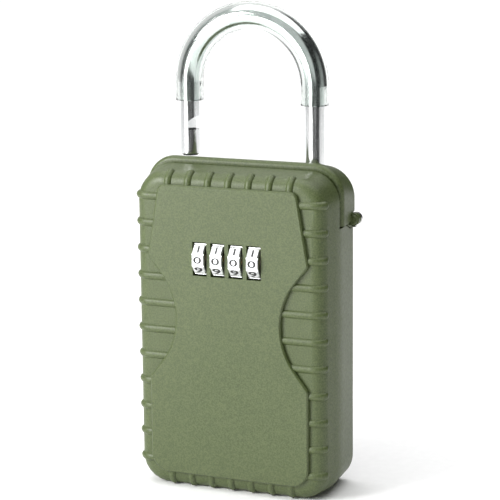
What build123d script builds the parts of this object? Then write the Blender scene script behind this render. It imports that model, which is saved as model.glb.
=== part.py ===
"""Portable key lock box: a ribbed case hung by a shackle, opened with four number dials.

The case stands on its base. Its head is a U-shaped lid, hinged on a pin beside the right
side, and both legs of the shackle pass through the lid. The shackle is drawn here in its
raised, unlocked position. Pushed down, its short leg is caught by a bolt inside the lid.

Frame: X to the viewer's right, Y to the back, Z up, origin in the middle of the base.
"""
import os

from build123d import *

# ---------------------------------------------------------------- driving dimensions, mm
WIDTH = 74.0                 # case, side to side at its rear
HALF = WIDTH / 2
SHELL_TOP = 119.8            # top of the case at its rear
FRONT_HALF = 36.6            # the outline is smaller at the front
FRONT_TOP = 118.5
BELT_HALF = 38.8             # and largest along the parting groove
BELT_TOP = 120.7
BELT_ROUND = 24.0            # easing of the sides across the belt
Y_PANEL = -17.0              # face of the raised front panel
Y_MARGIN = -15.3             # ribbed margin round the panel
Y_REAR = 15.8                # rear rim of the case
REAR_ROUND = 1.2             # rounding of the rear edges
WALL = 2.6                   # case wall at the rear
CORNER_BOTTOM = 10.5         # outline corners
CORNER_TOP = 11.0
EDGE_ROUND = 5.0             # rounding of the front edges

Y_PART = -3.0                # parting groove, front side
GROOVE = 1.6                 # width of the parting groove
PART_Z = 100.5               # lower edge of the lid
SLIP = 0.6                   # swing gap under the lid
LID_PROUD = 0.6              # how far the lid stands out beyond the case's sides
LID_INSIDE = 35.0            # inner faces of its side walls
LID_ROOF = 118.2             # inside of the lid's crown
LID_REAR_WALL = 2.4
LID_CORNER = 11.5
Y_LID = Y_PART + GROOVE      # front rim of the lid
LID_RIDGE = 123.3            # highest line of the lid, behind its front rounding
LID_BACK = 119.7             # top of the lid at its rear face
LID_ROUND = 1.8              # rounding of the front rim

RIB_RADIUS = 1.6             # round ribs, sunk in the margin
RIB_PROUD = 0.9
SIDE_RIB_PITCH = 10.0
SIDE_RIB_COUNT = 11
END_RIB_PITCH = 8.0
END_RIB_COUNT = 7

DIAL_PITCH = 7.15
DIAL_COUNT = 4
DIAL_WIDTH = 4.7
DIAL_RADIUS = 6.9            # to the corners of the ten facets
DIAL_Y = -12.4               # axis of the dials
DIAL_Z = 88.0
AXLE_RADIUS = 1.0
TUMBLER_RADIUS = 3.4
TUMBLER_THICK = 0.6
TOOTH_THICK = 0.55
BOLT_TRAVEL = 1.5

LEG_X = 25.0                 # shackle legs, each side of the middle
LEG_Y = 7.5
BAR_RADIUS = 3.5
ARCH_Z = 149.85              # centre of the shackle's arch
SHORT_TIP = 122.3            # tip of the short leg, shackle raised
LONG_TIP = 101.5             # tip of the long leg, shackle raised
SLEEVE_RADIUS = 5.15
SLEEVE_END = 143.0

PIVOT_X = 38.5               # hinge pin of the lid, along Y
PIVOT_Z = 101.0
EAR_RADIUS = 2.3
EAR_FRONT = 11.0             # front face of the ear on the lid
PIN_RADIUS = 1.2

Y_CHASSIS = 1.2              # rear face of the chassis plate
CHASSIS_THICK = 1.2
Y_BACK_PLATE = 13.6          # front face of the back plate
BACK_PLATE_THICK = 1.5
PAD_THICK = 1.2
CLEAR = 0.15                 # slip clearance of an inserted plate

# ---------------------------------------------------------------- derived places
LUG_SIDE = HALF + LID_PROUD  # outer face of the hinge lug
DIAL_X = [(i - (DIAL_COUNT - 1) / 2) * DIAL_PITCH for i in range(DIAL_COUNT)]
DIAL_GAP = DIAL_PITCH - DIAL_WIDTH
TUMBLER_X = DIAL_WIDTH / 2 + (DIAL_GAP - TUMBLER_THICK) / 2      # from the dial's middle
CHASSIS_SCREWS = [(side * x, z) for x, z in ((29.5, 14), (31, 50), (31, 110)) for side in (-1, 1)]
BACK_SCREWS = [(-30.5, 6.8), (30.5, 6.8), (-32, 64), (32, 64)]
DETENT_SCREWS = [(-12, 74.5), (12, 74.5)]
BOLT_Z0, BOLT_Z1 = 112.8, 115.4
NOTCH_Z = 132.0              # ledge of the catch notch

os.makedirs("parts", exist_ok=True)


def behind(y):
    """Upright sketch plane at depth y: positive extrusions come forward."""
    return Plane.XZ.offset(-y)


def finish(piece, name):
    """Label a finished piece and write it."""
    piece.part.label = name
    export_step(piece.part, f"parts/{name}.step")


def section(y, half, bottom, top, corner_bottom, corner_top):
    """Closed outline across Y with rounded corners, for a body that narrows along Y."""
    with BuildSketch(behind(y)) as outline:
        with Locations((0, (top + bottom) / 2)):
            Rectangle(2 * half, top - bottom)
        if corner_bottom > 0:
            fillet(outline.vertices().group_by(Axis.Y)[0], corner_bottom)
        fillet(outline.vertices().group_by(Axis.Y)[-1], corner_top)
    return outline.sketch


def plate_outline(inset, top, corner_top):
    """Case outline, drawn in by an inset, cut level at a top."""
    with Locations((0, (top + inset) / 2)):
        Rectangle(WIDTH - 2 * inset, top - inset)
    fillet(vertices().group_by(Axis.Y)[0], CORNER_BOTTOM - inset)
    if corner_top > 0:
        fillet(vertices().group_by(Axis.Y)[-1], corner_top)


def post(x, z, radius, y_front, y_back):
    """Round post along Y, from one depth to another."""
    with BuildSketch(behind(y_back)) as disc:
        with Locations((x, z)):
            Circle(radius)
    extrude(disc.sketch, amount=y_back - y_front)


def bore(x, z, radius, y_front, y_back):
    """Round hole along Y, from one depth to another."""
    with BuildSketch(behind(y_back)) as disc:
        with Locations((x, z)):
            Circle(radius)
    extrude(disc.sketch, amount=y_back - y_front, mode=Mode.SUBTRACT)


def screws(name, places, y_seat, length, shank, head, head_thick):
    """Group of identical screws driven from behind, each with a cross recess."""
    with BuildPart() as group:
        for x, z in places:
            post(x, z, head, y_seat, y_seat + head_thick)
            post(x, z, shank, y_seat - length, y_seat)
        with BuildSketch(behind(y_seat + head_thick)):
            with Locations(*places):
                Rectangle(head * 1.1, head * 0.26)
                Rectangle(head * 0.26, head * 1.1)
        extrude(amount=head_thick * 0.55, mode=Mode.SUBTRACT)
    finish(group, name)


# ================================================================ ribs of the case
RIB_DEPTH = RIB_RADIUS - RIB_PROUD                     # how far a rib's axis is sunk
ROUND_PATH = EDGE_ROUND - RIB_DEPTH                    # its path round the front edge
Y_ROUND = Y_MARGIN + EDGE_ROUND                        # centre line of that rounding
FLARE = (BELT_HALF - FRONT_HALF) / (Y_PART - Y_MARGIN)  # slope of the sides and the top
ROUND_IN = EDGE_ROUND * ((1 + FLARE ** 2) ** 0.5 - FLARE)


def rib(start, centre, turn):
    """A round rib with a ball end: straight across the margin, then round the edge.

    It is drawn in the plane XY for the right side. centre is the X of the centre line of
    the edge's rounding, start the straight length before it, turn the degrees round it."""
    inner_end = (centre - start, Y_MARGIN + RIB_DEPTH)
    with BuildPart() as one:
        with BuildLine() as path:
            Line(inner_end, (centre, Y_MARGIN + RIB_DEPTH))
            CenterArc((centre, Y_ROUND), ROUND_PATH, -90, turn)
        with BuildSketch(Plane(origin=(*inner_end, 0), z_dir=(1, 0, 0))):
            Circle(RIB_RADIUS)
        sweep(path=path.line)
        end = path.line @ 1
        with Locations((end.X, end.Y, 0)):
            Sphere(RIB_RADIUS)
    return one.part


right_rib = rib(start=16.0, centre=FRONT_HALF - ROUND_IN, turn=62)
top_rib = rib(start=3.0, centre=FRONT_TOP - ROUND_IN, turn=70)
bottom_rib = rib(start=3.0, centre=-EDGE_ROUND, turn=46)
side_ribs = [right_rib, mirror(right_rib, about=Plane.YZ)]
end_ribs = [Rot(0, -90, 0) * top_rib, Rot(0, 90, 0) * bottom_rib]
SIDE_RIB_Z = [10 + SIDE_RIB_PITCH * i for i in range(SIDE_RIB_COUNT)]
END_RIB_X = [END_RIB_PITCH * (i - (END_RIB_COUNT - 1) / 2) for i in range(END_RIB_COUNT)]

# ================================================================ case shell
PANEL_TOP = 114.8
with BuildPart() as case_shell:
    front = section(Y_MARGIN, FRONT_HALF, 0, FRONT_TOP, CORNER_BOTTOM, CORNER_TOP)
    belt = section(Y_PART, BELT_HALF, 0, BELT_TOP, CORNER_BOTTOM, CORNER_TOP)
    rear = section(Y_REAR, HALF, 0, SHELL_TOP, CORNER_BOTTOM, CORNER_TOP)
    loft([front, belt], ruled=True)
    loft([belt, rear], ruled=True)
    upright = case_shell.edges().filter_by(Axis.Z)
    fillet(upright.filter_by(lambda e: abs(abs(e.center().X) - BELT_HALF) < 0.01), BELT_ROUND)
    fillet(case_shell.faces().sort_by(Axis.Y)[0].edges(), EDGE_ROUND)
    fillet(case_shell.faces().sort_by(Axis.Y)[-1].edges(), REAR_ROUND)

    # ribs on both sides, on the top and on the bottom margin
    add([Pos(0, 0, z) * bar for z in SIDE_RIB_Z for bar in side_ribs])
    add([Pos(x, 0, 0) * bar for x in END_RIB_X for bar in end_ribs])

    # raised front panel with its waist
    with BuildSketch(behind(Y_MARGIN + 0.6)) as panel:
        with BuildLine():
            Line((0, PANEL_TOP), (27.2, PANEL_TOP))
            Line((27.2, PANEL_TOP), (31.7, 88))
            Line((31.7, 88), (25.4, 80))
            ThreePointArc((25.4, 80), (20.8, 65), (25.4, 50))
            Line((25.4, 50), (31.5, 42))
            Line((31.5, 42), (31.5, 5.5))
            Line((31.5, 5.5), (0, 5.5))
            mirror(about=Plane.YZ)
        make_face()
        outer = panel.vertices().filter_by(lambda v: abs(v.X) > 26)
        fillet(outer.group_by(Axis.Y)[-1], 3.0)
        fillet(panel.vertices().filter_by(lambda v: abs(abs(v.X) - 31.7) < 0.05), 1.5)
        fillet(panel.vertices().filter_by(lambda v: v.Y > 41 and abs(abs(v.X) - 31.5) < 0.05), 1.5)
        fillet(panel.vertices().filter_by(lambda v: v.Y < 6 and abs(v.X) > 26), 7.0)
    extrude(amount=Y_MARGIN + 0.6 - Y_PANEL)
    chamfer(case_shell.faces().sort_by(Axis.Y)[0].edges(), 0.5)

    # hollow, open to the back
    with BuildSketch(behind(Y_REAR)):
        plate_outline(WALL, SHELL_TOP - WALL, CORNER_TOP - WALL)
    extrude(amount=Y_REAR - Y_MARGIN - WALL, mode=Mode.SUBTRACT)

    # the head belongs to the lid: cut it off behind the parting groove
    with BuildSketch(Plane.YZ.offset(-BELT_HALF - 1)):
        with BuildLine():
            Polyline(
                (Y_PART, BELT_TOP + 3), (Y_PART, PART_Z - SLIP), (Y_REAR + 1, PART_Z - SLIP),
                (Y_REAR + 1, BELT_TOP + 3), close=True)
        make_face()
    extrude(amount=2 * BELT_HALF + 2, mode=Mode.SUBTRACT)
    # room for the lid's hinge lug and the back plate's ear in the right wall
    with BuildSketch(Plane.YZ.offset(HALF - WALL - 0.6)):
        with BuildLine():
            Polyline(
                (5, PART_Z + 1), (5, PART_Z - SLIP), (11, PART_Z - 3.0), (Y_REAR + 1, PART_Z - 3.0),
                (Y_REAR + 1, PART_Z + 1), close=True)
        make_face()
    extrude(amount=WALL + 4, mode=Mode.SUBTRACT)

    # posts for the chassis screws and for the back plate's screws
    for x, z in CHASSIS_SCREWS:
        post(x, z, 3.0, Y_MARGIN + 1, Y_CHASSIS - CHASSIS_THICK)
    for x, z in BACK_SCREWS:
        post(x, z, 3.0, Y_CHASSIS + 0.8, Y_BACK_PLATE)
        bore(x, z, 1.25, Y_BACK_PLATE - 8, Y_BACK_PLATE)
    for x, z in CHASSIS_SCREWS:
        bore(x, z, 1.25, Y_CHASSIS - CHASSIS_THICK - 8, Y_CHASSIS - CHASSIS_THICK)

    # dial slots through the panel, and the channel for axle and tumblers behind them
    with BuildSketch(behind(Y_MARGIN + WALL + 1)):
        with Locations(*[(x, DIAL_Z) for x in DIAL_X]):
            Rectangle(5.6, 12.6)
    extrude(amount=10, mode=Mode.SUBTRACT)
    for x in DIAL_X:
        with BuildSketch(Plane.YZ.offset(x - 2.8)):
            with Locations((DIAL_Y, DIAL_Z)):
                Circle(DIAL_RADIUS + 0.35)
        extrude(amount=5.6, mode=Mode.SUBTRACT)
    with BuildSketch(Plane.YZ.offset(-18.6)):
        with Locations((DIAL_Y, DIAL_Z)):
            Circle(TUMBLER_RADIUS + 0.35)
    extrude(amount=37.2, mode=Mode.SUBTRACT)
finish(case_shell, "case_shell")

# ================================================================ back plate, pad, screws
EAR_STRAP = 2.2
with BuildPart() as back_plate:
    with BuildSketch(behind(Y_BACK_PLATE + BACK_PLATE_THICK)):
        plate_outline(WALL + CLEAR, PART_Z - 0.6, 0)
        # hinge ear, reaching out through the right wall
        with Locations(((HALF - WALL + PIVOT_X) / 2 - 2, PART_Z - 0.6 - EAR_STRAP / 2)):
            Rectangle(PIVOT_X - HALF + WALL + 4, EAR_STRAP)
        with Locations((PIVOT_X, PIVOT_Z)):
            Circle(EAR_RADIUS)
    extrude(amount=BACK_PLATE_THICK)
    bore(PIVOT_X, PIVOT_Z, PIN_RADIUS, Y_BACK_PLATE, Y_REAR)
    for x, z in BACK_SCREWS:
        bore(x, z, 1.35, Y_BACK_PLATE, Y_REAR)
        with BuildSketch(behind(Y_BACK_PLATE + BACK_PLATE_THICK)):
            with Locations((x, z)):
                Circle(2.35)
        extrude(amount=1.0, mode=Mode.SUBTRACT)
finish(back_plate, "back_plate")

with BuildPart() as back_pad:
    with BuildSketch(behind(Y_BACK_PLATE + BACK_PLATE_THICK + PAD_THICK)):
        plate_outline(WALL + 0.6, PART_Z - 1.2, 4.0)
    extrude(amount=PAD_THICK)
    chamfer(back_pad.faces().sort_by(Axis.Y)[-1].edges(), 0.3)
finish(back_pad, "back_pad")

screws("back_plate_screws", BACK_SCREWS, Y_BACK_PLATE + 0.5, 7.5, 1.2, 2.25, 0.9)

# ================================================================ chassis
BOLT_WINDOW = (-12.4, 114.1, 8.6, 3.6)       # middle x, z and size of the bolt's window
with BuildPart() as chassis:
    with BuildSketch(behind(Y_CHASSIS)):
        plate_outline(WALL + CLEAR, SHELL_TOP - WALL - CLEAR, CORNER_TOP - WALL)
    extrude(amount=CHASSIS_THICK)
    # spring post of the bolt
    with BuildSketch(behind(0)):
        with Locations((3, 102)):
            Rectangle(2.4, 4)
    extrude(amount=6.4)
    with BuildSketch(behind(Y_CHASSIS)):
        with Locations(BOLT_WINDOW[:2]):
            Rectangle(*BOLT_WINDOW[2:])
    extrude(amount=CHASSIS_THICK, mode=Mode.SUBTRACT)
    for x, z in CHASSIS_SCREWS:
        bore(x, z, 1.35, Y_CHASSIS - CHASSIS_THICK, Y_CHASSIS)
    # stiffening ribs pressed in the compartment side
    with BuildSketch(behind(Y_CHASSIS + 0.6)):
        with Locations((-8, 30), (-8, 42), (-8, 54)):
            SlotOverall(40, 2.4)
    extrude(amount=0.6)
finish(chassis, "chassis")

screws("chassis_screws", CHASSIS_SCREWS, Y_CHASSIS, 8.0, 1.2, 2.3, 1.2)

# ================================================================ dial frame, axle, springs
CHEEK_X = 16.2                               # inner faces of the cheeks
CHEEK_THICK = 1.5
with BuildPart() as dial_frame:
    with BuildSketch(behind(0)):
        with Locations((0, DIAL_Z)):
            Rectangle(2 * (CHEEK_X + CHEEK_THICK), 16)
            Rectangle(20, 12, mode=Mode.SUBTRACT)
    extrude(amount=1.0)
    for x in (-CHEEK_X - CHEEK_THICK, CHEEK_X):
        with BuildSketch(Plane.YZ.offset(x)):
            with BuildLine():
                Polyline(
                    (0, DIAL_Z - 8), (0, DIAL_Z + 8), (-4, DIAL_Z + 8), (DIAL_Y, DIAL_Z + 2.4),
                    (DIAL_Y, DIAL_Z - 2.4), (-4, DIAL_Z - 8), close=True)
            make_face()
            with Locations((DIAL_Y, DIAL_Z)):
                Circle(2.4)
                Circle(AXLE_RADIUS, mode=Mode.SUBTRACT)
        extrude(amount=CHEEK_THICK)
finish(dial_frame, "dial_frame")

with BuildPart() as dial_axle:
    with BuildSketch(Plane.YZ.offset(-18.4)):
        with Locations((DIAL_Y, DIAL_Z)):
            Circle(AXLE_RADIUS)
    extrude(amount=36.8)
finish(dial_axle, "dial_axle")

with BuildPart() as axle_clips:
    for x in (-18.2, 17.75):
        with BuildSketch(Plane.YZ.offset(x)):
            with Locations((DIAL_Y, DIAL_Z)):
                Circle(2.0)
                Circle(AXLE_RADIUS, mode=Mode.SUBTRACT)
                Rectangle(0.8, 4, align=(Align.CENTER, Align.MIN), mode=Mode.SUBTRACT)
        extrude(amount=0.45)
finish(axle_clips, "axle_clips")

with BuildPart() as dial_spacer:
    with BuildSketch(Plane.YZ.offset(-CHEEK_X + 0.05)):
        with Locations((DIAL_Y, DIAL_Z)):
            Circle(2.6)
            Circle(AXLE_RADIUS + 0.03, mode=Mode.SUBTRACT)
    extrude(amount=DIAL_X[0] - DIAL_WIDTH / 2 + CHEEK_X - 0.15)
finish(dial_spacer, "dial_spacer")

# leaf spring: one finger under each dial, from a foot on the chassis
with BuildPart() as detent_spring:
    with BuildSketch(behind(0)):
        with Locations((0, 75.5)):
            Rectangle(30, 7)
        with Locations(*DETENT_SCREWS):
            Circle(1.0, mode=Mode.SUBTRACT)
    extrude(amount=0.4)
    for x in DIAL_X:
        with BuildSketch(Plane.YZ.offset(x - 1.5)):
            with BuildLine():
                Polyline(
                    (0, 76), (0, 79), (-7.1, 81.9), (-7.6, 81.0), (-7.3, 80.8), (-6.9, 81.4),
                    (-0.4, 78.7), (-0.4, 76), close=True)
            make_face()
        extrude(amount=3.0)
finish(detent_spring, "detent_spring")

with BuildPart() as detent_screws:
    for x, z in DETENT_SCREWS:
        post(x, z, 1.7, -1.3, -0.4)
        post(x, z, 0.9, -0.4, 0)
finish(detent_screws, "detent_screws")

# ================================================================ dials and tumblers
for number, x in enumerate(DIAL_X, start=1):
    with BuildPart() as dial:
        with BuildSketch(Plane.YZ.offset(x - DIAL_WIDTH / 2)):
            with Locations((DIAL_Y, DIAL_Z)):
                RegularPolygon(DIAL_RADIUS, 10, rotation=18)
                Circle(AXLE_RADIUS + 0.03, mode=Mode.SUBTRACT)
        extrude(amount=DIAL_WIDTH)
        rims = dial.faces().filter_by(Axis.X)
        chamfer([e for f in rims for e in f.outer_wire().edges()], 0.3)
        # shallow groove at every corner of the ten facets
        with BuildSketch(Plane.YZ.offset(x - DIAL_WIDTH / 2)):
            with Locations((DIAL_Y, DIAL_Z)):
                with PolarLocations(DIAL_RADIUS, 10, start_angle=18):
                    Circle(0.45)
        extrude(amount=DIAL_WIDTH, mode=Mode.SUBTRACT)
    finish(dial, f"dial_{number}")

    with BuildPart() as tumbler:
        with BuildSketch(Plane.YZ.offset(x + DIAL_WIDTH / 2)):
            with Locations((DIAL_Y, DIAL_Z)):
                Circle(1.9)
        extrude(amount=DIAL_GAP - 0.3)
        with BuildSketch(Plane.YZ.offset(x + TUMBLER_X)):
            with Locations((DIAL_Y, DIAL_Z)):
                Circle(TUMBLER_RADIUS)
        extrude(amount=TUMBLER_THICK)
        # the gate, turned to the back when the dial shows its code number
        with BuildSketch(Plane.YZ.offset(x + TUMBLER_X)):
            with Locations((DIAL_Y + 2.0 + 1.0, DIAL_Z)):
                Rectangle(2.0, 1.7)
        extrude(amount=TUMBLER_THICK, mode=Mode.SUBTRACT)
        with BuildSketch(Plane.YZ.offset(x + DIAL_WIDTH / 2)):
            with Locations((DIAL_Y, DIAL_Z)):
                Circle(AXLE_RADIUS + 0.03)
        extrude(amount=DIAL_GAP, mode=Mode.SUBTRACT)
    finish(tumbler, f"tumbler_{number}")

# ================================================================ bolt slider and bolt
SLIDER_Y0, SLIDER_Y1 = -5.2, -4.2
RISER_X0, RISER_X1 = -14.4, -9.0
with BuildPart() as bolt_slider:
    with BuildSketch(behind(SLIDER_Y1)):
        with BuildLine():
            Polyline(
                (RISER_X0, 84.5), (15.4, 84.5), (15.4, 91.5), (RISER_X1, 91.5),
                (RISER_X1, BOLT_Z1), (RISER_X0, BOLT_Z1), close=True)
        make_face()
        with Locations((-11.7, 97), (-11.7, 107)):
            SlotOverall(2.2 + BOLT_TRAVEL, 2.2, mode=Mode.SUBTRACT)
    extrude(amount=SLIDER_Y1 - SLIDER_Y0)
    # one tooth beside every tumbler
    for x in DIAL_X:
        tooth_x = x + DIAL_WIDTH / 2 + DIAL_GAP - 0.2 - TOOTH_THICK
        with BuildSketch(Plane.YZ.offset(tooth_x)):
            with Locations(((DIAL_Y + 2.3 + SLIDER_Y1) / 2, DIAL_Z)):
                Rectangle(SLIDER_Y1 - DIAL_Y - 2.3, 1.2)
        extrude(amount=TOOTH_THICK)
finish(bolt_slider, "bolt_slider")

with BuildPart() as shackle_bolt:
    with BuildSketch(Plane.XY.offset(BOLT_Z0)):
        with BuildLine():
            Polyline(
                (RISER_X0 + 0.4, SLIDER_Y1), (RISER_X1 - 0.4, SLIDER_Y1), (RISER_X1 - 0.4, LEG_Y + 1.8),
                (-19.6, LEG_Y + 1.8), (-21.2, LEG_Y + 1), (-21.2, LEG_Y - 1.8),
                (RISER_X0 + 0.4, LEG_Y - 1.8), close=True)
        make_face()
    extrude(amount=BOLT_Z1 - BOLT_Z0)
finish(shackle_bolt, "shackle_bolt")

with BuildPart() as slider_rivets:
    for z in (97, 107):
        post(-11.7 - BOLT_TRAVEL / 2, z, 1.0, SLIDER_Y0 - 0.15, 0)
        post(-11.7 - BOLT_TRAVEL / 2, z, 1.7, SLIDER_Y0 - 0.85, SLIDER_Y0 - 0.15)
finish(slider_rivets, "slider_rivets")

# coil spring that pushes the bolt to its locked side
with BuildPart() as bolt_spring:
    with BuildSketch(Plane.YZ.offset(RISER_X1 + 0.1)):
        with Locations((-4.7, 102)):
            Circle(1.5)
            Circle(1.0, mode=Mode.SUBTRACT)
    extrude(amount=1.8 - RISER_X1 - 0.2)
finish(bolt_spring, "bolt_spring")

# ================================================================ leg guide and leg tube
GUIDE_BOTTOM, GUIDE_TOP = 101.2, 115.9
with BuildPart() as shackle_guide:
    with BuildSketch(Plane.XY.offset(GUIDE_BOTTOM)):
        with Locations((-LEG_X, LEG_Y)):
            Circle(5.2)
        with Locations((-LEG_X, (Y_CHASSIS + LEG_Y) / 2)):
            Rectangle(7, LEG_Y - Y_CHASSIS)
        with Locations((-LEG_X, LEG_Y)):
            Circle(3.75, mode=Mode.SUBTRACT)
    extrude(amount=GUIDE_TOP - GUIDE_BOTTOM)
    # foot on the chassis, and the window for the bolt
    with BuildSketch(behind(Y_CHASSIS + 1.5)):
        with Locations((-LEG_X, 103.2)):
            Rectangle(13, 4)
    extrude(amount=1.5)
    with BuildSketch(behind(LEG_Y + 2.3)):
        with Locations((-20, (BOLT_Z0 + BOLT_Z1) / 2)):
            Rectangle(6, BOLT_Z1 - BOLT_Z0 + 0.5)
    extrude(amount=4.6, mode=Mode.SUBTRACT)
finish(shackle_guide, "shackle_guide")

TUBE_BOTTOM = 70.0
with BuildPart() as long_leg_tube:
    with BuildSketch(Plane.XY.offset(TUBE_BOTTOM)):
        with Locations((LEG_X, LEG_Y)):
            Circle(5.7)
        with Locations((LEG_X, (Y_CHASSIS + LEG_Y) / 2)):
            Rectangle(6, LEG_Y - Y_CHASSIS)
    extrude(amount=PART_Z - 0.5 - TUBE_BOTTOM)
    with BuildSketch(behind(Y_CHASSIS + 1.5)):
        with Locations((LEG_X, TUBE_BOTTOM + 4), (LEG_X, PART_Z - 6)):
            Rectangle(14, 5)
    extrude(amount=1.5)
    with BuildSketch(Plane.XY.offset(TUBE_BOTTOM + 1.2)):
        with Locations((LEG_X, LEG_Y)):
            Circle(4.5)
    extrude(amount=40, mode=Mode.SUBTRACT)
finish(long_leg_tube, "long_leg_tube")

GUIDE_SCREWS = [(-LEG_X - 5.2, 103.2), (-LEG_X + 5.2, 103.2)]
GUIDE_SCREWS += [(LEG_X + dx, z) for z in (TUBE_BOTTOM + 4, PART_Z - 6) for dx in (-5.6, 5.6)]
with BuildPart() as guide_screws:
    for x, z in GUIDE_SCREWS:
        post(x, z, 1.1, Y_CHASSIS + 1.5, Y_CHASSIS + 2.3)
    with BuildSketch(behind(Y_CHASSIS + 2.3)):
        with Locations(*GUIDE_SCREWS):
            Rectangle(1.5, 0.35)
            Rectangle(0.35, 1.5)
    extrude(amount=0.4, mode=Mode.SUBTRACT)
finish(guide_screws, "guide_screws")

with BuildPart() as shackle_spring:
    with BuildSketch(Plane.XY.offset(TUBE_BOTTOM + 1.3)):
        with Locations((LEG_X, LEG_Y)):
            Circle(3.3)
            Circle(2.5, mode=Mode.SUBTRACT)
    extrude(amount=LONG_TIP - TUBE_BOTTOM - 1.4)
finish(shackle_spring, "shackle_spring")

# ================================================================ lid
BUSH_RADIUS = 4.2
LUG_BACK = Y_BACK_PLATE - 0.2
LEG_HOLE = 3.75
BUSHES = [(-LEG_X, 116.9, 2.2), (LEG_X, 105.0, 12.0)]    # x, lower end, height
with BuildPart() as lid:
    rim = section(Y_LID, BELT_HALF + LID_PROUD, PART_Z, LID_RIDGE, 0, LID_CORNER)
    crown_end = section(Y_REAR, HALF + LID_PROUD, PART_Z, LID_BACK, 0, LID_CORNER)
    loft([rim, crown_end], ruled=True)
    for place, size in ((0, LID_ROUND), (-1, REAR_ROUND)):
        edges = lid.faces().sort_by(Axis.Y)[place].edges()
        fillet(edges.filter_by(lambda e: e.center().Z > PART_Z + 0.1), size)
    # hinge lug on the right wall and the round ear
    with BuildSketch(Plane.YZ.offset(LID_INSIDE)):
        with BuildLine():
            Polyline(
                (5, PART_Z + 1), (5, PART_Z), (11, PART_Z - 2.6), (LUG_BACK, PART_Z - 2.6),
                (LUG_BACK, PART_Z + 1), close=True)
        make_face()
    extrude(amount=LUG_SIDE - LID_INSIDE)
    post(PIVOT_X, PIVOT_Z, EAR_RADIUS, EAR_FRONT, LUG_BACK)
    # hollow, open to the front and down
    hollow = section(Y_REAR - LID_REAR_WALL, LID_INSIDE, PART_Z - 4, LID_ROOF, 0, LID_CORNER - WALL)
    extrude(hollow, amount=Y_REAR - LID_REAR_WALL - Y_LID, mode=Mode.SUBTRACT)
    # bosses that hold the leg bushes
    for x, end, height in BUSHES:
        with BuildSketch(Plane.XY.offset(end)):
            with Locations((x, LEG_Y)):
                Circle(BUSH_RADIUS + 0.9)
        extrude(amount=LID_ROOF + 1 - end)
        with BuildSketch(Plane.XY.offset(end)):
            with Locations((x, LEG_Y)):
                Circle(BUSH_RADIUS)
        extrude(amount=height, mode=Mode.SUBTRACT)
        with BuildSketch(Plane.XY.offset(end)):
            with Locations((x, LEG_Y)):
                Circle(LEG_HOLE)
        extrude(amount=20, mode=Mode.SUBTRACT)
    bore(PIVOT_X, PIVOT_Z, PIN_RADIUS + 0.05, EAR_FRONT, LUG_BACK)
    # seat of the pin's head, and swing room round the back plate's ear
    bore(PIVOT_X, PIVOT_Z, 2.1, EAR_FRONT - 1.4, EAR_FRONT)
    bore(PIVOT_X, PIVOT_Z, EAR_RADIUS + 0.4, LUG_BACK, Y_REAR)
finish(lid, "lid")

with BuildPart() as leg_bushes:
    for x, end, height in BUSHES:
        with BuildSketch(Plane.XY.offset(end)):
            with Locations((x, LEG_Y)):
                Circle(BUSH_RADIUS)
                Circle(BAR_RADIUS + 0.1, mode=Mode.SUBTRACT)
        extrude(amount=height)
finish(leg_bushes, "leg_bushes")

# soft strip on the lid's front rim, in the parting groove
STRIP_HALF, STRIP_TOP, STRIP_WIDTH = 37.4, 119.6, 0.9
with BuildPart() as lid_gasket:
    with BuildSketch(behind(Y_LID)) as strip:
        with Locations((0, (STRIP_TOP + PART_Z) / 2)):
            Rectangle(2 * STRIP_HALF, STRIP_TOP - PART_Z)
        fillet(strip.vertices().group_by(Axis.Y)[-1], 10.0)
        with BuildSketch(mode=Mode.SUBTRACT) as inside:
            with Locations((0, (STRIP_TOP - STRIP_WIDTH + PART_Z - 2) / 2)):
                Rectangle(2 * (STRIP_HALF - STRIP_WIDTH), STRIP_TOP - STRIP_WIDTH - PART_Z + 2)
            fillet(inside.vertices().group_by(Axis.Y)[-1], 10.0 - STRIP_WIDTH)
    extrude(amount=GROOVE * 0.6)
finish(lid_gasket, "lid_gasket")

with BuildPart() as hinge_pin:
    post(PIVOT_X, PIVOT_Z, PIN_RADIUS, EAR_FRONT - 0.1, Y_BACK_PLATE + BACK_PLATE_THICK + 0.3)
    post(PIVOT_X, PIVOT_Z, 1.9, EAR_FRONT - 0.8, EAR_FRONT - 0.05)
    fillet(hinge_pin.edges().sort_by(Axis.Y)[0], 0.55)
finish(hinge_pin, "hinge_pin")

# ================================================================ shackle
RING_Z0, RING_Z1 = 103.5, 104.5
with BuildPart() as shackle:
    with BuildLine() as bar_path:
        Line((-LEG_X, LEG_Y, SHORT_TIP), (-LEG_X, LEG_Y, ARCH_Z))
        ThreePointArc(
            (-LEG_X, LEG_Y, ARCH_Z), (0, LEG_Y, ARCH_Z + LEG_X), (LEG_X, LEG_Y, ARCH_Z))
        Line((LEG_X, LEG_Y, ARCH_Z), (LEG_X, LEG_Y, LONG_TIP))
    with BuildSketch(Plane.XY.offset(SHORT_TIP)):
        with Locations((-LEG_X, LEG_Y)):
            Circle(BAR_RADIUS)
    sweep(path=bar_path.line)
    tips = shackle.faces().filter_by(GeomType.PLANE).edges()
    chamfer(tips, 0.7)
    # catch notch on the inner side of the short leg: ledge, flat and slanted top
    with BuildSketch(behind(LEG_Y + 5)):
        with BuildLine():
            Polyline(
                (-LEG_X + 0.8, NOTCH_Z), (-LEG_X + 5, NOTCH_Z), (-LEG_X + 5, NOTCH_Z + 5.4),
                (-LEG_X + BAR_RADIUS, NOTCH_Z + 5.2), (-LEG_X + 0.8, NOTCH_Z + 3.3), close=True)
        make_face()
    extrude(amount=10, mode=Mode.SUBTRACT)
    # groove for the retaining ring
    with BuildSketch(Plane.XY.offset(RING_Z0 - 0.1)):
        with Locations((LEG_X, LEG_Y)):
            Circle(BAR_RADIUS + 1)
            Circle(2.8, mode=Mode.SUBTRACT)
    extrude(amount=RING_Z1 - RING_Z0 + 0.2, mode=Mode.SUBTRACT)
finish(shackle, "shackle")

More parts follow.
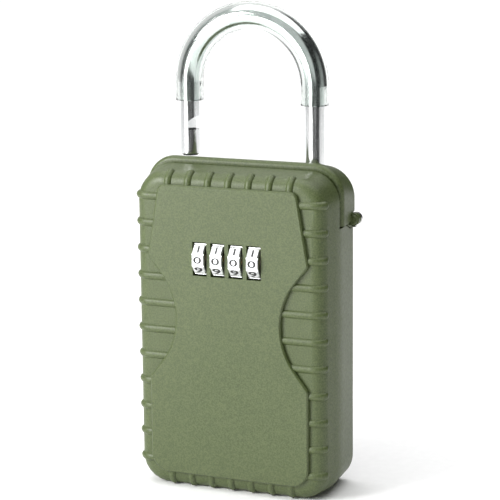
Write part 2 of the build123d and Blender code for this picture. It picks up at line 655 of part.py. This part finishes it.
with BuildPart() as retaining_ring:
    with BuildSketch(Plane.XY.offset(RING_Z0)):
        with Locations((LEG_X, LEG_Y)):
            Circle(4.3)
            Circle(2.87, mode=Mode.SUBTRACT)
    extrude(amount=RING_Z1 - RING_Z0)
finish(retaining_ring, "retaining_ring")

with BuildPart() as shackle_sleeve:
    with BuildLine() as sleeve_path:
        Line((-LEG_X, LEG_Y, SLEEVE_END), (-LEG_X, LEG_Y, ARCH_Z))
        ThreePointArc(
            (-LEG_X, LEG_Y, ARCH_Z), (0, LEG_Y, ARCH_Z + LEG_X), (LEG_X, LEG_Y, ARCH_Z))
        Line((LEG_X, LEG_Y, ARCH_Z), (LEG_X, LEG_Y, SLEEVE_END))
    with BuildSketch(Plane.XY.offset(SLEEVE_END)):
        with Locations((-LEG_X, LEG_Y)):
            Circle(SLEEVE_RADIUS)
            Circle(BAR_RADIUS + 0.05, mode=Mode.SUBTRACT)
    sweep(path=sleeve_path.line)
finish(shackle_sleeve, "shackle_sleeve")

# ================================================================ code change lever
LEVER_X, LEVER_Z = 2.0, 109.0
LEVER_REACH = 12.0
Y_LEVER = Y_CHASSIS + 1.4    # rear face of the lever
with BuildPart() as code_lever:
    with BuildSketch(behind(Y_LEVER)):
        with Locations((LEVER_X, LEVER_Z)):
            Circle(2.6)
        with Locations((LEVER_X + LEVER_REACH / 2, LEVER_Z)):
            Rectangle(LEVER_REACH, 3.2)
        with Locations((LEVER_X + LEVER_REACH, LEVER_Z)):
            Circle(2.2)
        with Locations((LEVER_X, LEVER_Z)):
            Circle(1.25, mode=Mode.SUBTRACT)
    extrude(amount=1.2)
    post(LEVER_X + LEVER_REACH, LEVER_Z, 1.5, Y_LEVER, Y_LEVER + 2.0)
finish(code_lever, "code_lever")

screws("lever_screw", [(LEVER_X, LEVER_Z)], Y_CHASSIS + 1.5, 1.5, 1.2, 2.2, 0.9)
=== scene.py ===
# %% [markdown]
# The key lock box is a cast metal case with a padlock shackle, four number dials and a head
# that swings aside. Its hard parts come from the engineering model, so their shapes are
# already right. The work here is the finish of each part, the painted figures on the dials,
# the real coil springs, and the light. The first step loads that model and keeps its box, so
# that the last step can show that nothing has grown.

# %% Load the lock box's frame
from math import cos, pi, radians, sin

import bmesh
import bpy
from mathutils import Matrix, Vector


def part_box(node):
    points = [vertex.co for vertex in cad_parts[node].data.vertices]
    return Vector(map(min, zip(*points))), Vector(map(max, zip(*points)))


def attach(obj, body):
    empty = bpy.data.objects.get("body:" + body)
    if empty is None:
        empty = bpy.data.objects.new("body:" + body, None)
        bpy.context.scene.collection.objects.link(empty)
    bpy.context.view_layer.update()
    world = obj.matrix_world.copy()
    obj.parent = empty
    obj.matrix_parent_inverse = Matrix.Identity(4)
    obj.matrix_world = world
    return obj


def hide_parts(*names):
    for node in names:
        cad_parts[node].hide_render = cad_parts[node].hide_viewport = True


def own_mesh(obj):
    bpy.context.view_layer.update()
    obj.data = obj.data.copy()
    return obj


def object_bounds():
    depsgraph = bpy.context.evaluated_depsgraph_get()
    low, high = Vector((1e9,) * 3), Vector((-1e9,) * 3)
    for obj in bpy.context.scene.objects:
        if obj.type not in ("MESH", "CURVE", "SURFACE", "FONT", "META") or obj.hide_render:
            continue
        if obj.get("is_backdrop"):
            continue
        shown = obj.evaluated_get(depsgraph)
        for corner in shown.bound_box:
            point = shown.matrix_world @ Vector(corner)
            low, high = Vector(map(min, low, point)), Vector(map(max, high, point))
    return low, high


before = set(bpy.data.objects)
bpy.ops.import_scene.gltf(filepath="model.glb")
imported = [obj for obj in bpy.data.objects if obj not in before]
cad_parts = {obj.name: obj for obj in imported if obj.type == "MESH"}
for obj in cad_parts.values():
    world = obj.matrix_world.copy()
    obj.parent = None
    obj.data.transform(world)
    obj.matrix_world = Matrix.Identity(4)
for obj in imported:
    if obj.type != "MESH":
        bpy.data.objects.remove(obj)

cad_box = [list(corner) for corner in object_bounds()]
MM = 0.001

# %% [markdown]
# A camera comes next, because every look is judged through it. A short lens close to the box
# would make its sides lean together, and a view with no perspective would look like a
# drawing. A long lens from a little to the right and above keeps the sides nearly parallel,
# as a catalogue picture does.

# %% Camera
CAMERA_TARGET = Vector((0.0094, -0.0170, 0.0929))
CAMERA_DISTANCE = 0.733
CAMERA_SIDE = radians(23.33)        # from the front towards the viewer's right
CAMERA_RISE = radians(11.55)
CAMERA_ROLL = radians(-0.54)
CAMERA_LENS = 146.6                 # mm
SENSOR_WIDE = 36.0                  # mm
CAMERA_NEAR = 0.05                  # nothing nearer than this is drawn


def look_matrix(target, distance, side, rise, roll):
    """Place of a camera that looks at a target from a side and a height."""
    ahead = Vector((-sin(side) * cos(rise), cos(side) * cos(rise), -sin(rise)))
    right = Vector((cos(side), sin(side), 0.0))
    up = right.cross(ahead)
    turned_right = right * cos(roll) + up * sin(roll)
    turned_up = up * cos(roll) - right * sin(roll)
    axes = Matrix((turned_right, turned_up, -ahead)).transposed().to_4x4()
    return Matrix.Translation(target - ahead * distance) @ axes


lens = bpy.data.cameras.new("catalogue_lens")
lens.lens = CAMERA_LENS
lens.sensor_width = SENSOR_WIDE
lens.clip_start = CAMERA_NEAR
camera = bpy.data.objects.new("catalogue_camera", lens)
bpy.context.scene.collection.objects.link(camera)
camera.matrix_world = look_matrix(
    CAMERA_TARGET, CAMERA_DISTANCE, CAMERA_SIDE, CAMERA_RISE, CAMERA_ROLL)
bpy.context.scene.camera = camera
print("camera at", [round(v, 3) for v in camera.location])

# %% [markdown]
# Materials are small node trees. Each could be wired by hand, but every one starts from the
# same shader, so one helper makes the tree and hands back the few things that the next steps
# need. Patterns read Object coordinates, which are metres here, so a noise scale of 1000
# gives specks about a millimetre wide.

# %% A helper that starts a material


class Finish:
    """A material under construction: its shader, and short ways to add nodes and wires."""

    def __init__(self, name):
        self.material = bpy.data.materials.new(name)
        self.material.use_nodes = True
        self.tree = self.material.node_tree
        self.shader = self.tree.nodes["Principled BSDF"]
        self.place = self.node("ShaderNodeTexCoord").outputs["Object"]

    def node(self, kind, **settings):
        made = self.tree.nodes.new(kind)
        for key, value in settings.items():
            setattr(made, key, value)
        return made

    def wire(self, source, target):
        self.tree.links.new(source, target)

    def set(self, **values):
        """Uniform values go straight on the shader: metallic=..., ior=..."""
        for key, value in values.items():
            socket = key.replace("_", " ").title().replace("Ior", "IOR")
            self.shader.inputs[socket].default_value = value

    def stretched(self, scale):
        """Object coordinates stretched by a scale for each axis."""
        mapping = self.node("ShaderNodeMapping")
        self.wire(self.place, mapping.inputs["Vector"])
        mapping.inputs["Scale"].default_value = scale
        return mapping.outputs["Vector"]

    def noise(self, scale, detail=2.0, roughness=0.5, place=None):
        """A noise field from 0 to 1."""
        made = self.node("ShaderNodeTexNoise")
        self.wire(place or self.place, made.inputs["Vector"])
        made.inputs["Scale"].default_value = scale
        made.inputs["Detail"].default_value = detail
        made.inputs["Roughness"].default_value = roughness
        return made.outputs["Fac"]

    def ramp(self, field, low, high, start=0.3, end=0.7):
        """Turn a field into a colour or a grey between two values."""
        made = self.node("ShaderNodeValToRGB")
        points = made.color_ramp.elements
        for point, position, value in ((points[0], start, low), (points[1], end, high)):
            colour = value if isinstance(value, tuple) else (value, value, value)
            point.position = position
            point.color = (*colour, 1.0)
        self.wire(field, made.inputs["Fac"])
        return made.outputs["Color"]

    def bump(self, field, height, strength=1.0, under=None):
        """Raise the surface by a field; height is the full depth in metres."""
        made = self.node("ShaderNodeBump")
        made.inputs["Distance"].default_value = height
        made.inputs["Strength"].default_value = strength
        self.wire(field, made.inputs["Height"])
        if under is not None:
            self.wire(under, made.inputs["Normal"])
        return made.outputs["Normal"]

    def use(self, **wires):
        """Wire outputs to the shader: base_color=..., roughness=..., normal=..."""
        for key, source in wires.items():
            self.wire(source, self.shader.inputs[key.replace("_", " ").title()])


def paint(node_names, finish):
    """Give a finish to CAD nodes by their names."""
    for name in node_names:
        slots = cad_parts[name].data.materials
        slots.clear()
        slots.append(finish.material)


print("helper ready")

# %% [markdown]
# The case, its head and the hinge pin share one olive green paint. On the real box it is a
# satin powder paint over cast zinc: a very fine orange peel with a grain of slightly lighter
# and darker specks. A flat green would look like plastic, and an image of paint would not
# fit every side. So three noises do it: the finest for the specks, one twice as coarse for
# the orange peel and its sheen, and a broad, weak one for the slight drift of the colour over
# a whole side.

# %% Olive powder paint
GRAIN_SHARE = 0.55                  # how much of the colour follows the specks


def olive_paint():
    finish = Finish("olive_powder_paint")
    specks = finish.noise(1900.0, detail=3.0, roughness=0.6)
    drift = finish.noise(28.0, detail=2.0)
    peel = finish.noise(950.0, detail=2.0, roughness=0.45)
    grain_colour = finish.ramp(specks, (0.034, 0.052, 0.011), (0.104, 0.132, 0.050), 0.38, 0.62)
    drift_colour = finish.ramp(drift, (0.060, 0.083, 0.024), (0.074, 0.097, 0.034))
    mix = finish.node("ShaderNodeMix", data_type="RGBA", blend_type="MIX")
    mix.inputs["Factor"].default_value = GRAIN_SHARE
    finish.wire(drift_colour, mix.inputs["A"])
    finish.wire(grain_colour, mix.inputs["B"])
    shine = finish.ramp(peel, 0.38, 0.50)
    relief = finish.bump(peel, 0.00005, 0.55)
    relief = finish.bump(specks, 0.00002, 0.55, under=relief)
    finish.use(base_color=mix.outputs["Result"], roughness=shine, normal=relief)
    finish.set(metallic=0.0, specular_ior_level=0.5)
    return finish


OLIVE = olive_paint()
OLIVE_PARTS = ["case_shell", "lid", "hinge_pin"]
paint(OLIVE_PARTS, OLIVE)
print("painted olive:", ", ".join(OLIVE_PARTS))

# %% [markdown]
# The shackle is a steel bar with a bright plated surface. Drawing the bar through its die
# leaves faint lines along it, and plating leaves a soft cloudiness. Long thin noise, squeezed
# across the bar and stretched along it, makes the lines; it drives both the roughness and a
# very shallow bump, so the reflections break up a little along the legs.

# %% Bright plated bar


def plated_bar():
    finish = Finish("bright_plated_bar")
    lines = finish.noise(1.0, detail=3.0, place=finish.stretched((2600.0, 2600.0, 90.0)))
    cloud = finish.noise(160.0, detail=3.0)
    tint = finish.ramp(cloud, (0.70, 0.715, 0.72), (0.83, 0.84, 0.84))
    shine = finish.ramp(lines, 0.10, 0.24)
    finish.use(base_color=tint, roughness=shine, normal=finish.bump(lines, 0.000012, 0.5))
    finish.set(metallic=1.0)
    return finish


PLATED = plated_bar()
paint(["shackle"], PLATED)
print("plated:", "shackle")

# %% [markdown]
# A clear vinyl tube covers the arch so that it doesn't scratch a door. Vinyl is not glass: it
# is a little milky, and its skin is slightly wavy where it was pulled over the bend. Full
# transmission with a low roughness gives the clearness, and a broad bump gives the waves.

# %% Clear vinyl sleeve
VINYL_IOR = 1.33                    # below vinyl's own 1.5, so the bar inside isn't widened


def clear_vinyl():
    finish = Finish("clear_vinyl")
    waves = finish.noise(130.0, detail=2.0)
    scuffs = finish.noise(900.0, detail=4.0, roughness=0.65)
    tint = finish.ramp(waves, (0.87, 0.925, 0.895), (0.91, 0.945, 0.925))
    shine = finish.ramp(scuffs, 0.03, 0.12, 0.4, 0.75)
    finish.use(base_color=tint, roughness=shine, normal=finish.bump(waves, 0.00025, 0.35))
    finish.set(transmission_weight=1.0, metallic=0.0, ior=VINYL_IOR)
    return finish


VINYL = clear_vinyl()
paint(["shackle_sleeve"], VINYL)
print("clear:", "shackle_sleeve")

# %% [markdown]
# The dials are satin nickel. Each wheel was turned on its axle, so its brush lines run round
# it, in planes across X. A noise squeezed along X and long in Y and Z gives those rings.

# %% Satin nickel dials


def satin_nickel():
    finish = Finish("satin_nickel")
    rings = finish.noise(1.0, detail=3.0, place=finish.stretched((5200.0, 260.0, 260.0)))
    cloud = finish.noise(420.0, detail=2.0)
    tint = finish.ramp(cloud, (0.74, 0.75, 0.76), (0.86, 0.865, 0.87))
    shine = finish.ramp(rings, 0.24, 0.40)
    finish.use(base_color=tint, roughness=shine, normal=finish.bump(rings, 0.00002, 0.5))
    finish.set(metallic=1.0)
    return finish


NICKEL = satin_nickel()
DIALS = ["dial_1", "dial_2", "dial_3", "dial_4"]
paint(DIALS, NICKEL)
print("nickel:", ", ".join(DIALS))

# %% [markdown]
# Inside there are four more metals. Cast zinc is grey and finely pitted, stamped steel has a
# rolling direction, wire and turned pins are smooth, and the code discs are brass. They
# differ in colour, roughness and in the shape of their noise, so one function makes them all.

# %% Metals of the mechanism


def inner_metal(name, dark, light, shine, stretch, depth):
    """A metal with a colour between dark and light, and grain stretched by three scales."""
    finish = Finish(name)
    grain = finish.noise(1.0, detail=4.0, roughness=0.6, place=finish.stretched(stretch))
    stain = finish.noise(90.0, detail=3.0)
    tint = finish.ramp(stain, dark, light)
    gloss = finish.ramp(grain, shine[0], shine[1])
    finish.use(base_color=tint, roughness=gloss, normal=finish.bump(grain, depth, 0.6))
    finish.set(metallic=1.0)
    return finish


CAST_ZINC = inner_metal(
    "cast_zinc", dark=(0.40, 0.41, 0.42), light=(0.52, 0.53, 0.54), shine=(0.38, 0.60),
    stretch=(1500, 1500, 1500), depth=0.00006)
STAMPED = inner_metal(
    "stamped_steel", dark=(0.50, 0.50, 0.49), light=(0.62, 0.62, 0.61), shine=(0.24, 0.40),
    stretch=(350, 2600, 2600), depth=0.00002)
SMOOTH_STEEL = inner_metal(
    "smooth_steel", dark=(0.58, 0.58, 0.58), light=(0.68, 0.68, 0.68), shine=(0.14, 0.26),
    stretch=(900, 900, 900), depth=0.00001)
TURNED_BRASS = inner_metal(
    "turned_brass", dark=(0.62, 0.45, 0.18), light=(0.75, 0.57, 0.26), shine=(0.20, 0.34),
    stretch=(4200, 300, 300), depth=0.00002)

INNER_PARTS = (
    (CAST_ZINC, ["chassis", "shackle_guide", "long_leg_tube"]),
    (STAMPED, ["back_plate", "dial_frame", "bolt_slider", "shackle_bolt", "detent_spring",
               "axle_clips", "retaining_ring", "code_lever"]),
    (SMOOTH_STEEL, ["dial_axle", "dial_spacer", "back_plate_screws", "chassis_screws",
                    "detent_screws", "guide_screws", "lever_screw", "slider_rivets"]),
    (TURNED_BRASS, ["tumbler_1", "tumbler_2", "tumbler_3", "tumbler_4"]))
for metal, names in INNER_PARTS:
    paint(names, metal)
    print(metal.material.name, "on", len(names), "parts")

# %% [markdown]
# Three black finishes are left. The pad on the back is sheet rubber with a fine fabric-like
# print from its mould, the strip in the parting groove is plain soft rubber, and the leg
# bushes are nylon, smoother and a little glossier. Fine crossed waves make the print.

# %% Rubber and nylon
WAVE_AT_SCALE_ONE = 0.314           # metres from band to band of a Wave texture of scale 1


def black_polymer(name, shade, shine, print_pitch=0, print_depth=0):
    """Black rubber or nylon; print_pitch in metres, 0 for a plain skin."""
    finish = Finish(name)
    grain = finish.noise(1800.0, detail=3.0, roughness=0.6)
    tint = finish.ramp(finish.noise(60.0), (shade * 0.8,) * 3, (shade * 1.3,) * 3)
    relief = finish.bump(grain, 0.00003, 0.6)
    if print_pitch:
        weave = finish.node("ShaderNodeTexWave", wave_type="BANDS", bands_direction="X")
        cross = finish.node("ShaderNodeTexWave", wave_type="BANDS", bands_direction="Z")
        lift = finish.node("ShaderNodeMath", operation="MULTIPLY")
        for wave, socket in ((weave, 0), (cross, 1)):
            finish.wire(finish.place, wave.inputs["Vector"])
            wave.inputs["Scale"].default_value = WAVE_AT_SCALE_ONE / print_pitch
            finish.wire(wave.outputs["Fac"], lift.inputs[socket])
        relief = finish.bump(lift.outputs["Value"], print_depth, 0.8, under=relief)
    finish.use(base_color=tint, roughness=finish.ramp(grain, shine, shine + 0.2), normal=relief)
    finish.set(metallic=0.0)
    return finish


PAD_RUBBER = black_polymer(
    "printed_rubber", shade=0.022, shine=0.55, print_pitch=1.6 * MM, print_depth=0.2 * MM)
STRIP_RUBBER = black_polymer("strip_rubber", shade=0.016, shine=0.60)
NYLON = black_polymer("black_nylon", shade=0.028, shine=0.35)
for node_name, polymer in (
        ("back_pad", PAD_RUBBER), ("lid_gasket", STRIP_RUBBER), ("leg_bushes", NYLON)):
    paint([node_name], polymer)
    print(node_name, "in", polymer.material.name)

# %% [markdown]
# The figures on the dials are sunk and filled with black on the real wheels. They could be
# painted with a texture, but ten clean shapes on ten flat faces are easier to get sharp as
# thin meshes. Each figure is a text curve, made a mesh, squeezed to the wide low shape of a
# lock's figures, and laid on its own face, where it stands proud by a hair.

# %% Figures on the dials
axle_low, axle_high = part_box("dial_axle")
DIAL_AXIS_Y = (axle_low.y + axle_high.y) / 2
FACES = 10
FIGURE_WIDE = 3.2 * MM
FIGURE_TALL = 2.6 * MM
ONE_WIDE = 0.62 * MM
FIGURE_THICK = 0.05 * MM
GLYPHS = "0I23456789"               # the one is a plain bar
LETTER_SWELL = 0.018                # fattens the strokes, in units of the text's size
LETTER_EXTRUDE = 0.01               # any depth will do, as the mesh is scaled to its thickness


def black_fill():
    finish = Finish("black_fill")
    grain = finish.noise(3000.0, detail=2.0)
    finish.use(base_color=finish.ramp(grain, (0.010,) * 3, (0.022,) * 3),
               roughness=finish.ramp(grain, 0.35, 0.55))
    return finish


def figure_mesh(value):
    """A flat figure centred on the origin in XY, of the set width and height."""
    curve = bpy.data.curves.new("figure", "FONT")
    curve.body = GLYPHS[value]
    curve.offset = LETTER_SWELL
    curve.extrude = LETTER_EXTRUDE
    holder = bpy.data.objects.new("figure", curve)
    bpy.context.scene.collection.objects.link(holder)
    bpy.context.view_layer.update()
    mesh = bpy.data.meshes.new_from_object(holder)
    bpy.data.objects.remove(holder)
    xs = [v.co.x for v in mesh.vertices]
    ys = [v.co.y for v in mesh.vertices]
    zs = [v.co.z for v in mesh.vertices]
    wide = ONE_WIDE if value == 1 else FIGURE_WIDE
    middle = Vector(((min(xs) + max(xs)) / 2, (min(ys) + max(ys)) / 2, min(zs)))
    size = (wide / (max(xs) - min(xs)), FIGURE_TALL / (max(ys) - min(ys)),
            FIGURE_THICK / (max(zs) - min(zs)))
    mesh.transform(Matrix.Diagonal((*size, 1.0)) @ Matrix.Translation(-middle))
    return mesh


def dial_figures(dial, finish):
    """The ten figures of one dial, joined in one piece that turns with it."""
    low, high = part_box(dial)
    centre = (low + high) / 2
    centre.y = DIAL_AXIS_Y
    to_face = centre.y - low.y      # from the axis to the flat face at the front
    upright = Matrix.Rotation(pi / 2, 4, "X")
    outward = Matrix.Translation((0, -to_face, 0))
    joined = bmesh.new()
    for value in range(FACES):
        mesh = figure_mesh(value)
        turn = Matrix.Rotation(-2 * pi * value / FACES, 4, "X")
        mesh.transform(Matrix.Translation(centre) @ turn @ outward @ upright)
        joined.from_mesh(mesh)
        bpy.data.meshes.remove(mesh)
    return finished_piece(f"{dial}_figures", joined, finish)


def finished_piece(name, mesh_data, finish):
    """Make an object of a bmesh, with its normals outward and its finish on it."""
    bmesh.ops.recalc_face_normals(mesh_data, faces=mesh_data.faces)
    mesh = bpy.data.meshes.new(name)
    mesh_data.to_mesh(mesh)
    mesh_data.free()
    mesh.materials.append(finish.material)
    piece = bpy.data.objects.new(name, mesh)
    bpy.context.scene.collection.objects.link(piece)
    return piece


BLACK = black_fill()
for dial in DIALS:
    figures = dial_figures(dial, BLACK)
    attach(figures, dial)
    print(figures.name, len(figures.data.polygons), "faces")

# %% [markdown]
# Two coil springs are only plain tubes in the engineering model. A curve bent into a helix
# could stand for each, but a coil is simply a circle carried round an axis while it climbs,
# which is what the spin operator does when it is also given a small step along the axis. The
# shackle's spring shortens when the shackle is pushed down, but here both coils are tied to
# the root and keep their length.

# %% Coil springs
STEPS_A_TURN = 24
WIRE_SIDES = 10
LIFT_WIRE = 0.42 * MM               # each wire's radius
LIFT_RADIUS = 2.85 * MM             # from the coil's axis to the middle of its wire
LIFT_TURNS = 12
PUSH_WIRE = 0.22 * MM
PUSH_RADIUS = 1.25 * MM
PUSH_TURNS = 9


def coil(name, base, axis, length, radius, wire, turns, finish):
    """A coil of round wire with capped ends, from a base point along an axis."""
    axis = Vector(axis)
    side = axis.orthogonal().normalized()
    mesh_data = bmesh.new()
    start = Vector(base) + axis * wire + side * radius
    across = side.cross(axis).to_track_quat("Z", "Y").to_matrix().to_4x4()
    ring = bmesh.ops.create_circle(
        mesh_data, segments=WIRE_SIDES, radius=wire, matrix=Matrix.Translation(start) @ across)
    edges = list({e for v in ring["verts"] for e in v.link_edges})
    steps = turns * STEPS_A_TURN
    climb = axis * (length - 2 * wire) / steps
    bmesh.ops.spin(
        mesh_data, geom=edges + ring["verts"], cent=base, axis=axis, dvec=climb,
        angle=turns * 2 * pi, steps=steps, use_duplicate=False)
    bmesh.ops.holes_fill(mesh_data, edges=[e for e in mesh_data.edges if e.is_boundary])
    for face in mesh_data.faces:
        face.smooth = len(face.verts) == 4
    return finished_piece(name, mesh_data, finish)


low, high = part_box("shackle_spring")
middle = (low + high) / 2
foot = (middle.x, middle.y, low.z)
lift_spring = coil(
    "shackle_lift_coil", foot, (0, 0, 1), high.z - low.z,
    LIFT_RADIUS, LIFT_WIRE, LIFT_TURNS, SMOOTH_STEEL)
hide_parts("shackle_spring")
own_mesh(lift_spring)
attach(lift_spring, "root")

low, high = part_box("bolt_spring")
middle = (low + high) / 2
push_spring = coil(
    "bolt_push_coil", (low.x, middle.y, middle.z), (1, 0, 0), high.x - low.x,
    PUSH_RADIUS, PUSH_WIRE, PUSH_TURNS, SMOOTH_STEEL)
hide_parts("bolt_spring")
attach(push_spring, "root")
print("coils:", lift_spring.name, push_spring.name)

# %% [markdown]
# The stage is a wide pale floor, as on a product table. A curved backdrop would do as well,
# but a flat sheet takes a plain soft shadow and needs no seam. It isn't part of the lock box,
# so it is marked as stage.

# %% Pale floor
FLOOR_SIDE = 2.4                    # metres


def pale_floor(side):
    mesh_data = bmesh.new()
    bmesh.ops.create_grid(mesh_data, x_segments=8, y_segments=8, size=side / 2)
    finish = Finish("pale_floor")
    grain = finish.noise(300.0, detail=2.0)
    finish.use(base_color=finish.ramp(grain, 0.91, 0.94), roughness=finish.ramp(grain, 0.75, 0.85))
    return finished_piece("floor", mesh_data, finish)


pale_floor(FLOOR_SIDE)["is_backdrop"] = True
print("floor", FLOOR_SIDE, "m square")

# %% [markdown]
# One large lamp overhead makes the even, soft light of a product table. Alone it would leave
# the ribs flat, so a key lamp on the left, near enough for its light to fade down the panel,
# throws their shadows to the right. A low soft box beside it gives the paint its sheen near
# the top. Each lamp is a square that gives light, turned to the point that it lights.

# %% Lamps
BOX_MIDDLE = (0.0, 0.0, 0.09)
UPPER_PANEL = (0.0, 0.0, 0.11)
LAMPS = (
    # name, place, what it points at, side in metres, power in watts
    ("overhead_lamp", (0.0, 0.6, 2.3), (0.0, 0.6, 0.0), 3.2, 66.0),
    ("key_lamp", (-0.42, -0.50, 0.42), BOX_MIDDLE, 0.28, 5.0),
    ("low_softbox", (-0.30, -0.58, 0.05), UPPER_PANEL, 0.26, 1.5))


def lamp(name, place, aim, side, power):
    """A square area lamp at a place, turned to a point."""
    data = bpy.data.lights.new(name, "AREA")
    data.size = side
    data.energy = power
    made = bpy.data.objects.new(name, data)
    bpy.context.scene.collection.objects.link(made)
    made.location = place
    made.rotation_euler = (Vector(aim) - Vector(place)).to_track_quat("-Z", "Y").to_euler()
    return made


for settings in LAMPS:
    print("lamp:", lamp(*settings).name)

# %% [markdown]
# Bare metal shows only what is round it, and in an all-white room it looks like paper. So the
# room is white, with a dark wall on the right that is greyer in its middle, and a small dark
# patch opposite. A picture of a studio could be wrapped round the scene, but a ramp of greys
# over one direction does the same and is easy to change. Rays that come straight from the
# camera skip the ramp and see plain white.

# %% Studio room
DARK_SIDE = (0.918, 0.396, 0.0)     # the direction of the dark wall
ROOM_STRENGTH = 0.72
WHITE_STRENGTH = 1.05               # of the plain white behind the box
WALL_GREYS = (                      # from opposite the dark wall, 0, to straight at it, 1
    (0.0, 0.10), (0.10, 0.80), (0.40, 1.0), (0.56, 1.0), (0.66, 0.03), (0.92, 0.05), (1.0, 0.5))


def wall_ramp(tree):
    """The walls' grey for each direction."""
    direction = tree.nodes.new("ShaderNodeTexCoord")
    towards = tree.nodes.new("ShaderNodeVectorMath")
    towards.operation = "DOT_PRODUCT"
    towards.inputs[1].default_value = DARK_SIDE
    spread = tree.nodes.new("ShaderNodeMapRange")
    spread.inputs["From Min"].default_value = -1.0
    walls = tree.nodes.new("ShaderNodeValToRGB")
    points = walls.color_ramp.elements
    while len(points) < len(WALL_GREYS):
        points.new(0.5)
    for point, (position, grey) in zip(points, WALL_GREYS):
        point.position = position
        point.color = (grey, grey, grey, 1.0)
    tree.links.new(direction.outputs["Generated"], towards.inputs[0])
    tree.links.new(towards.outputs["Value"], spread.inputs["Value"])
    tree.links.new(spread.outputs["Result"], walls.inputs["Fac"])
    return walls.outputs["Color"]


def studio_room():
    """A white room with one dark wall, and plain white for what the camera sees directly."""
    world = bpy.data.worlds.new("studio_room")
    bpy.context.scene.world = world
    world.use_nodes = True
    tree = world.node_tree
    tree.nodes.clear()
    room = tree.nodes.new("ShaderNodeBackground")
    room.inputs["Strength"].default_value = ROOM_STRENGTH
    white = tree.nodes.new("ShaderNodeBackground")
    white.inputs["Color"].default_value = (1.0, 1.0, 1.0, 1.0)
    white.inputs["Strength"].default_value = WHITE_STRENGTH
    path = tree.nodes.new("ShaderNodeLightPath")
    mix = tree.nodes.new("ShaderNodeMixShader")
    out = tree.nodes.new("ShaderNodeOutputWorld")
    tree.links.new(wall_ramp(tree), room.inputs["Color"])
    tree.links.new(path.outputs["Is Camera Ray"], mix.inputs["Fac"])
    tree.links.new(room.outputs["Background"], mix.inputs[1])
    tree.links.new(white.outputs["Background"], mix.inputs[2])
    tree.links.new(mix.outputs["Shader"], out.inputs["Surface"])


studio_room()
bpy.context.scene.view_settings.view_transform = "Standard"
print("room with", len(WALL_GREYS), "greys")

# %% [markdown]
# Upright bars seen from a little above mirror what stands low in front of them, which is the
# pale floor. In a studio a black card goes there, out of the picture, to draw a dark band
# down the metal. This card stands between the box and the camera, so it is hidden from the
# camera, and it neither takes light from the paint nor casts a shadow. Only reflections and
# the view through the sleeve show it.

# %% Black card
CARD_TURN = radians(36.3)           # towards the viewer's right, from the front
CARD_AWAY = 0.50
CARD_WIDE = 0.92
CARD_TALL = 0.26                    # half of it is below the floor, where nothing sees it


def reflected_card(turn, away, wide, tall):
    mesh_data = bmesh.new()
    bmesh.ops.create_grid(mesh_data, x_segments=2, y_segments=2, size=0.5)
    bmesh.ops.scale(mesh_data, vec=(wide, tall, 1.0), verts=mesh_data.verts)
    upright = Matrix.Rotation(pi / 2, 4, "X")
    stand = Matrix.Rotation(turn, 4, "Z") @ Matrix.Translation((0, -away, 0)) @ upright
    bmesh.ops.transform(mesh_data, matrix=stand, verts=mesh_data.verts)
    card = finished_piece("reflected_card", mesh_data, STRIP_RUBBER)
    card.visible_camera = False
    card.visible_diffuse = False
    card.visible_shadow = False
    return card


card = reflected_card(CARD_TURN, CARD_AWAY, CARD_WIDE, CARD_TALL)
card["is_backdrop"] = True
print("card", CARD_WIDE, "by", CARD_TALL, "m")

# %% [markdown]
# The finished model must be the size of the engineering model. The last line prints how far
# each corner of the box has moved, so that a change of size is seen at once.

# %% Growth of the box
new_box = [list(corner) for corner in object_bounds()]
growth = [
    round(abs(after - before), 5)
    for old_corner, new_corner in zip(cad_box, new_box)
    for before, after in zip(old_corner, new_corner)]
print("size grows by", growth)
